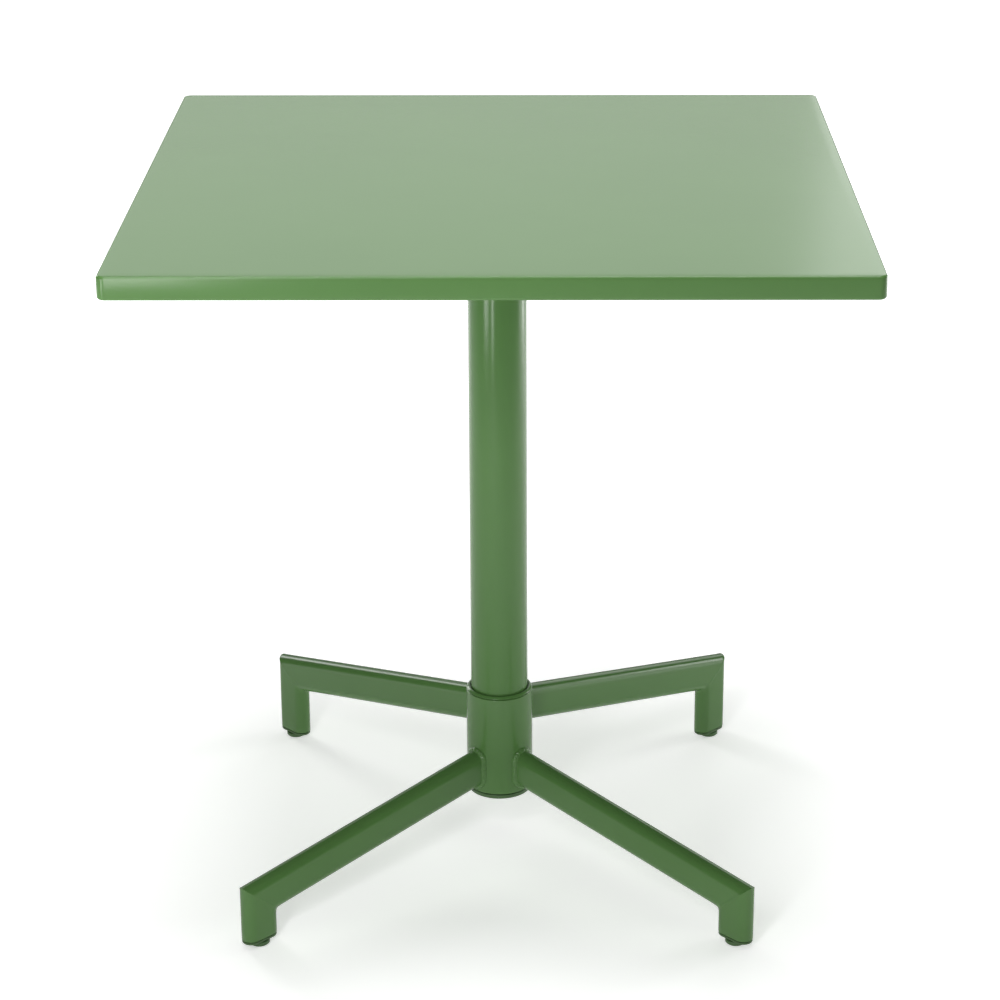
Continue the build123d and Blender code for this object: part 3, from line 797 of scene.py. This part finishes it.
def makeChannels():
    # a closed hat-shaped outline carried along Y; each dent's depth is cos squared of the distance from it
    for side in ("Left", "Right"):
        name = "channel_" + side.lower()
        low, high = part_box(name)
        middle, web, t = (low.x + high.x) / 2, channelShape["half"], channelShape["sheet"]
        wide, bend, small = web + channelShape["lip"], channelShape["bend"], channelShape["bend"] - t
        cut, lipUnder, webInside = 0.3 * mm, high.z - t, low.z + t
        outline = rounded([
            (wide, high.z, cut), (wide, lipUnder, cut), (web, lipUnder, small), (web, low.z, bend),
            (-web, low.z, bend), (-web, lipUnder, small), (-wide, lipUnder, cut), (-wide, high.z, cut),
            (-web + t, high.z, bend), (-web + t, webInside, small), (web - t, webInside, small),
            (web - t, high.z, bend),
        ], 5, True)
        outline = spaced(outline, channelShape["step"])
        spots = np.arange(-3.5, 4) * channelShape["weldPitch"]
        fine = (spots[:, None] + np.linspace(-1, 1, 9) * channelShape["weldR"]).ravel()
        y = np.unique(np.concatenate([np.linspace(low.y, high.y, 41), fine]).round(6))[:, None]
        x, z = outline[:, 0] + 0 * y, outline[:, 1] + 0 * y
        near = np.abs(y[:, :, None] - spots).min(-1)
        away = np.hypot(near, np.abs(x) - (web + channelShape["lip"] / 2 + 1 * mm))
        dent = np.cos(np.clip(away / channelShape["weldR"], 0, 1) * math.pi / 2) ** 2
        under = (z < high.z - t + 0.1 * mm) & (np.abs(x) > web)
        z = z + channelShape["weldDeep"] * dent * under
        grid = np.stack([middle + x, y + 0 * x, z], -1)
        makePiece("channel" + side, [(grid, False, True)], "top", "green_coat", [name], 30, True)


def spaced(path, step):
    # adds points to the long straight parts of a closed outline
    after = np.roll(path, -1, 0)
    parts = [a + (b - a) * np.linspace(0, 1, max(1, int(np.hypot(*(b - a)) / step)), endpoint=False)[:, None]
             for a, b in zip(path, after)]
    return np.concatenate(parts)


def softened(node, name, body, slot, width, segments=2):
    # a merged copy of a CAD mesh whose flat parts are joined and whose sharp edges get a small round
    worked = bmesh.new()
    worked.from_mesh(frame["nodes"][node].data)
    bmesh.ops.remove_doubles(worked, verts=worked.verts, dist=1e-6)
    bmesh.ops.dissolve_limit(worked, angle_limit=math.radians(1), verts=worked.verts, edges=worked.edges)
    mesh = bpy.data.meshes.new(name)
    worked.to_mesh(mesh)
    worked.free()
    piece = hangMesh(name, mesh, body, slot, [node], 40)
    edge = piece.modifiers.new("edge", "BEVEL")
    edge.width, edge.segments, edge.limit_method = width, segments, "ANGLE"
    edge.angle_limit = math.radians(40)
    edge.harden_normals = True


fasteners = {
    "columns": 48,
    # recess across, depth of recess, rise of the dome, radius and height of the head, shank radius, pitch
    "panScrew": (6.0 * mm, 2.0 * mm, 1.1 * mm, 6.0 * mm, 3.2 * mm, 2.95 * mm, 1.0 * mm),
    "buttonBolt": (5.0 * mm, 2.4 * mm, 2.3 * mm, 7.0 * mm, 4.4 * mm, 3.95 * mm, 1.25 * mm),
    "crossWide": 1.3 * mm,
    "channelNut": (10.0 * mm, 3.0 * mm),  # across flats, bore radius
    "yokeNut": (13.0 * mm, 4.0 * mm),
    "lead": 0.6 * mm,  # chamfer at each end of a nut's bore
    "coneHeights": (0, 0.15 * mm, 0.35 * mm, 0.6 * mm, 0.95 * mm),  # rings of the cone on a hexagon's corners
    "coneStart": 0.97,  # its smallest circle, as a share of the across-flats one
}


def turns():
    return np.linspace(0, 2 * math.pi, fasteners["columns"], endpoint=False)


def cornerCone(acrossFlats):
    # (radius, height) rows of the 30 degree cone that cuts a hexagon's corners
    height = np.array(fasteners["coneHeights"])
    return acrossFlats / 2 * fasteners["coneStart"] + height * math.tan(math.radians(60)), height


def hexagonAt(acrossFlats, spin):
    # radius of a hexagon in each direction
    return acrossFlats / 2 / np.cos((spin + math.pi / 6) % (math.pi / 3) - math.pi / 6)


def crossAt(long, spin):
    # radius of a cross-shaped recess in each direction
    folded = np.abs((spin + math.pi / 4) % (math.pi / 2) - math.pi / 4)
    sides = np.maximum(np.sin(folded), 1e-6)
    return np.minimum(long / 2 / np.cos(folded), fasteners["crossWide"] / 2 / sides)


def slotAt(long, wide, spin):
    # radius of a straight slot in each direction
    folded = np.abs((spin + math.pi / 2) % math.pi - math.pi / 2)
    ends, sides = np.maximum(np.cos(folded), 1e-6), np.maximum(np.sin(folded), 1e-6)
    return np.minimum(long / 2 / ends, wide / 2 / sides)


def ringsOf(rows, spin):
    # stacks rows of (radius in each direction, height) into a grid round the origin
    radius = np.stack([r + 0 * spin for r, z in rows])
    height = np.array([z for r, z in rows])[:, None]
    return np.stack([radius * np.cos(spin), radius * np.sin(spin), height + 0 * radius], -1)


def screwHead(recess, deep, dome, radius, high):
    # out from the recess's floor, over a dome that draws back with radius squared, and up the side
    middle = recess.mean()
    deck = dome * (middle / radius) ** 2 - high
    rows = [(recess * 0.0, deep - high), (recess * 0.86, deep - high), (recess, deck + 0.15 * mm)]
    rows.append((recess + 0.15 * mm, deck - 0.02 * mm))
    for share in np.linspace(0, 1, 7)[1:]:
        out = 0.9 * radius * share + middle * (1 - share)
        rows.append((recess + (0.9 * radius - recess) * share, dome * (out / radius) ** 2 - high))
    rows += [(radius * 0.975, dome - high - 0.12 * mm), (radius, dome - high + 0.25 * mm), (radius, 0.0)]
    return rows


def boltGrid(rows, shank, low, high, pitch, spin):
    # a head, its flat underside, and a threaded shank
    head = ringsOf(rows, spin)
    thread = threaded(shank, pitch * 0.5, pitch, low, high, (0, 0), columns=len(spin))
    return lidded(np.concatenate([head, thread]))


def nutGrid(acrossFlats, low, high, bore):
    # a hexagon whose corners are cut by a cone at each end, and a bore with lead-in chamfers
    cone, height = cornerCone(acrossFlats)
    spin, lead = turns(), fasteners["lead"]
    flat = hexagonAt(acrossFlats, spin)
    rows = [(bore, low + lead), (bore + lead, low)]
    rows += [(np.minimum(flat, c), low + h) for c, h in zip(cone, height)]
    rows += [(np.minimum(flat, c), high - h) for c, h in zip(cone[::-1], height[::-1])]
    rows += [(bore + lead, high), (bore, high - lead)]
    return ringsOf(rows, spin)


def solidBoxes(node):
    # the box of each separate solid in a CAD node, found by following its edges
    worked = bmesh.new()
    worked.from_mesh(frame["nodes"][node].data)
    bmesh.ops.remove_doubles(worked, verts=worked.verts, dist=1e-6)
    left, boxes = set(worked.verts), []
    while left:
        edge = [left.pop()]
        found = list(edge)
        while edge:
            near = {v for e in edge.pop().link_edges for v in e.verts} & left
            left -= near
            edge += near
            found += near
        spots = np.array([v.co for v in found])
        boxes.append((spots.min(0), spots.max(0)))
    worked.free()
    return sorted(boxes, key=lambda b: (round(b[0][0], 4), round(b[0][1], 4)))


def standing(grid, box):
    # moves a grid drawn round the origin to the middle of a solid's box
    middle = (box[0] + box[1]) / 2
    return grid + np.array([middle[0], middle[1], 0])


def makeBolts(name, node, kind, recessAt, seat=None):
    # seat: height of the heads' flat underside, else each head starts at the foot of its box
    long, deep, dome, radius, high, shank, pitch = fasteners[kind]
    spin, bolts = turns(), []
    head = screwHead(recessAt(long, spin), deep, dome, radius, high)
    for box in solidBoxes(node):
        face = seat or box[0][2] + high
        rows = [(r, face + z) for r, z in head]
        bolts.append((standing(boltGrid(rows, shank, face, box[1][2], pitch, spin), box), False, True))
    makePiece(name, bolts, "top", "zinc_fastener", [node], 40)


def makeFasteners():
    makeBolts("plateScrews", "plate_screws", "panScrew", crossAt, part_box("mounting_plate")[0].z)
    makeBolts("yokeBolts", "yoke_bolts", "buttonBolt", hexagonAt)
    for name, node in (("channelNut", "channel_nuts"), ("yokeNut", "yoke_nuts")):
        flats, bore = fasteners[name]
        nuts = [(standing(nutGrid(flats, box[0][2], box[1][2], bore), box), True, True)
                for box in solidBoxes(node)]
        makePiece(name + "s", nuts, "top", "zinc_fastener", [node], 30)


makeChannels()
softened("mounting_plate", "mountingPlate", "top", "green_coat", width=0.5 * mm)
softened("hinge_yoke", "hingeYoke", "top", "green_coat", width=0.7 * mm, segments=3)
softened("column_head", "columnHead", "pedestal", "cast_head", width=0.8 * mm, segments=3)
makeFasteners()
print("channels, plate, yoke, head and fasteners made")


# the tipping joint and its clamp lever

pivotParts = {
    "bore": 5.05 * mm,
    "washerEdge": 0.3 * mm,
    "ear": 28.0 * mm,  # outside of the yoke's ears
    "boltFlats": 17.0 * mm,
    "boltR": 5.0 * mm,
    "boltDish": (6.0 * mm, 6.6 * mm, 0.3 * mm),  # shallow dish in the head: floor and rim radius, depth
    "boltCollar": (8.0 * mm, 0.5 * mm),  # washer face under the head: radius, height
    "slotLong": 6.5 * mm,
    "slotWide": 1.0 * mm,
    "slotDeep": 1.2 * mm,
    "screwR": 4.5 * mm,
    "screwShank": 1.95 * mm,
    "screwHead": 3.5 * mm,
    "stemR": 3.45 * mm,
    "buttonHigh": 4.4 * mm,
    "dimple": (1.8 * mm, 2.4 * mm, 0.5 * mm),  # in each rest buffer: floor and rim radius, depth
}
tipAxis = next(j for j in frame["record"]["behaviour"]["joints"] if j["name"] == "top_tip")["pos_m"]

lever = {
    "bossR": 10.5 * mm,
    "bossWide": 22.0 * mm,
    "bossEdge": 1.7 * mm,
    "sleeveR": 7.05 * mm,
    "wellR": 5.0 * mm,
    "wellDeep": 7.0 * mm,
    # the grip in millimetres: distance behind the pivot, place out from the boss's outer face, width, height
    "stations": (
        (2.0, -8.0, 13.0, 15.0), (27.3, -4.0, 10.0, 12.0), (58.5, 4.0, 11.0, 15.0), (78.0, 7.0, 8.0, 11.0),
    ),
    "start": 8.4,  # behind the pivot, inside the boss's wall
    "tip": 5.0,  # length of the rounded end, which closes as a circle does
    "sunk": 0.8 * mm,  # the boss starts this far up its sleeve
    "squareness": 2.5,  # 2 is an ellipse, more is squarer
    "voxel": 0.55 * mm,
    "smoothing": 6,
    "rings": 39,
    "tipRings": 7,
    "around": 56,
}


def lying(grid):
    # turns a grid drawn upright round the origin on to the tipping axis
    return np.stack([grid[..., 2], tipAxis[1] + grid[..., 0], tipAxis[2] + grid[..., 1]], -1)


def makeRing(node, name, body, slot, bore, edge):
    # a ring on the tipping axis, sized by its CAD node
    low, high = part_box(node)
    r = (high.z - low.z) / 2
    ring = ringSection(bore, r, low.x, high.x, edge, edge)
    makePiece(name, [turned(ring, tipAxis[1:], 72, "x", True)], body, slot, [node])


def makePivot():
    bore, edge, spin = pivotParts["bore"], pivotParts["washerEdge"], turns()
    for side in ("Left", "Right"):
        node = "friction_washer_" + side.lower()
        makeRing(node, "frictionWasher" + side, "top", "friction_nylon", bore, edge)
    makeRing("pivot_washer", "pivotWasher", "top", "zinc_fastener", bore, edge)
    makeRing("lever_sleeve", "leverSleeve", "lever", "zinc_fastener", bore, 0.5 * mm)

    low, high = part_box("pivot_bolt")
    flat, r, seat = hexagonAt(pivotParts["boltFlats"], spin), pivotParts["boltR"], -pivotParts["ear"]
    floor, rim, dish = pivotParts["boltDish"]
    collar, step = pivotParts["boltCollar"]
    rows = [(0, low.x + dish), (floor, low.x + dish), (rim, low.x)]
    rows += [(np.minimum(flat, c), low.x + h) for c, h in zip(*cornerCone(pivotParts["boltFlats"]))]
    rows += [(flat, seat - step), (collar, seat - step), (collar, seat), (r, seat)]
    rows += [(r, high.x - 1 * mm), (r - 1 * mm, high.x), (0, high.x)]
    makePiece("pivotBolt", [(lying(ringsOf(rows, spin)), False, True)], "top", "zinc_fastener",
              ["pivot_bolt"], 30)

    low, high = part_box("lever_screw")
    r, shank, top = pivotParts["screwR"], pivotParts["screwShank"], high.x
    slot, deep = slotAt(pivotParts["slotLong"], pivotParts["slotWide"], spin), top - pivotParts["slotDeep"]
    neck = top - pivotParts["screwHead"]
    rows = [(0, deep), (slot * 0.98, deep), (slot, top)]
    rows += [(slot + (r - 0.4 * mm - slot) * share, top) for share in (0.3, 0.6, 1.0)]
    rows += [(r - 0.1 * mm, top - 0.15 * mm), (r, top - 0.4 * mm), (r, neck)]
    rows += [(shank, neck), (shank, low.x), (0, low.x)]
    makePiece("leverScrew", [(lying(ringsOf(rows, spin)), False, True)], "lever", "zinc_fastener",
              ["lever_screw"], 30)

    buttons = []
    for box in solidBoxes("rest_buffers"):
        low, high, stem = box[0][2], box[1][2], pivotParts["stemR"]
        base, r = high - pivotParts["buttonHigh"], (box[1][0] - box[0][0]) / 2
        floor, rim, dimple = pivotParts["dimple"]
        profile = rounded([
            (0, low, 0), (stem, low, 0.5 * mm), (stem, base, 0.1 * mm), (r, base, 0.3 * mm),
            (r, high, 1.3 * mm), (rim, high, 0.4 * mm),
            (floor, high - dimple, 0.4 * mm), (0, high - dimple, 0),
        ], 4)
        buttons.append(turned(profile, tuple((box[0] + box[1])[:2] / 2), 48))
    makePiece("restBuffers", buttons, "pedestal", "buffer_rubber", ["rest_buffers"])


def gripGrid(outer):
    # squared ellipses whose place, width and height are cubics through the stations
    back, place, wide, high = np.array(lever["stations"]).T
    end = back[-1]
    tip = end - lever["tip"] * (1 - np.sin(np.linspace(0, math.pi / 2, lever["tipRings"])))
    body = np.linspace(lever["start"], end - lever["tip"], lever["rings"] + 1)[:-1]
    reach = np.concatenate([body, tip])
    x, w, h = (np.polyval(np.polyfit(back, values, 3), reach) for values in (place, wide, high))
    close = np.sqrt(np.clip(1 - np.clip((reach - end + lever["tip"]) / lever["tip"], 0, 1) ** 2, 0.0004, 1))
    spin = np.linspace(0, 2 * math.pi, lever["around"], endpoint=False)
    power = 2 / lever["squareness"]
    across = np.sign(np.cos(spin)) * np.abs(np.cos(spin)) ** power
    up = np.sign(np.sin(spin)) * np.abs(np.sin(spin)) ** power
    grid = np.stack([
        outer / mm + x[:, None] + (w * close)[:, None] / 2 * across,
        tipAxis[1] / mm + reach[:, None] + 0 * across,
        tipAxis[2] / mm + (h * close)[:, None] / 2 * up,
    ], -1) * mm
    return lidded(grid)


def makeLever():
    # boss and grip are closed shells; a fine voxel skin joins them and smoothing rounds the corner between
    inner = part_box("lever_sleeve")[0].x + lever["sunk"]
    outer = inner + lever["bossWide"]
    seat = outer - lever["wellDeep"]
    r, edge, sleeve, well = (lever[k] for k in ("bossR", "bossEdge", "sleeveR", "wellR"))
    boss = rounded([
        (sleeve, inner, 0), (r, inner, edge), (r, outer, edge), (well, outer, 0.7 * mm),
        (well, seat, 0), (sleeve, seat, 0),
    ], 5, True)
    sheets = [turned(boss, tipAxis[1:], 96, "x", True), (gripGrid(outer), False, True)]
    rough = makePiece("leverShells", sheets, "lever", "lever_plastic")
    skin = rough.modifiers.new("skin", "REMESH")
    skin.mode, skin.voxel_size = "VOXEL", lever["voxel"]
    soft = rough.modifiers.new("soft", "SMOOTH")
    soft.factor, soft.iterations = 0.5, lever["smoothing"]
    graph = bpy.context.evaluated_depsgraph_get()
    mesh = bpy.data.meshes.new_from_object(rough.evaluated_get(graph))
    mesh.name = "clampLever"
    bpy.data.objects.remove(rough)
    hangMesh("clampLever", mesh, "lever", "lever_plastic", ["clamp_lever"], 50)


makePivot()
makeLever()
print("pivot and lever made")


# what holds the column inside the hub

core = {
    "play": 0.05 * mm,
    "rodBore": 6.5 * mm,
    "spigotBore": 20.0 * mm,
    "plate": 12.0 * mm,  # thickness of the seat
    "floor": 4.0 * mm,  # of the spigot's hollow, above the plate
    "washerEdge": 0.3 * mm,
    "nutFlats": 19.0 * mm,
    "nutBore": 6.0 * mm,
}


def makeCore():
    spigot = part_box("column_tube")[1].x - hubParts["columnWall"] - core["play"]
    low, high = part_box("hub_seat")
    bore, r, cup, deck = core["rodBore"], high.x, core["spigotBore"], low.z + core["plate"]
    floor = deck + core["floor"]
    seat = rounded([
        (bore, low.z, 0), (r, low.z, 0.5 * mm), (r, deck, 0.5 * mm), (spigot, deck, 0.2 * mm),
        (spigot, high.z, 1 * mm), (cup, high.z, 0.5 * mm), (cup, floor, 0.5 * mm), (bore, floor, 0),
    ], 3, True)
    makePiece("hubSeat", [turned(seat, closed=True)], "pedestal", "bare_steel", ["hub_seat"])
    low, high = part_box("tie_rod")
    rod = rounded([(0, low.z, 0), (high.x, low.z, 1 * mm), (high.x, high.z, 1 * mm), (0, high.z, 0)], 2)
    makePiece("tieRod", [turned(rod, segments=48)], "pedestal", "zinc_fastener", ["tie_rod"])
    low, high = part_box("tie_rod_washer")
    ring = ringSection(bore, high.x, low.z, high.z, core["washerEdge"], core["washerEdge"])
    makePiece("tieRodWasher", [turned(ring, closed=True)], "pedestal", "zinc_fastener", ["tie_rod_washer"])
    low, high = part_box("tie_rod_nut")
    nut = nutGrid(core["nutFlats"], low.z, high.z, core["nutBore"])
    makePiece("tieRodNut", [(nut, True, True)], "pedestal", "zinc_fastener", ["tie_rod_nut"], 30)


makeCore()
print("seat, rod and nut made")
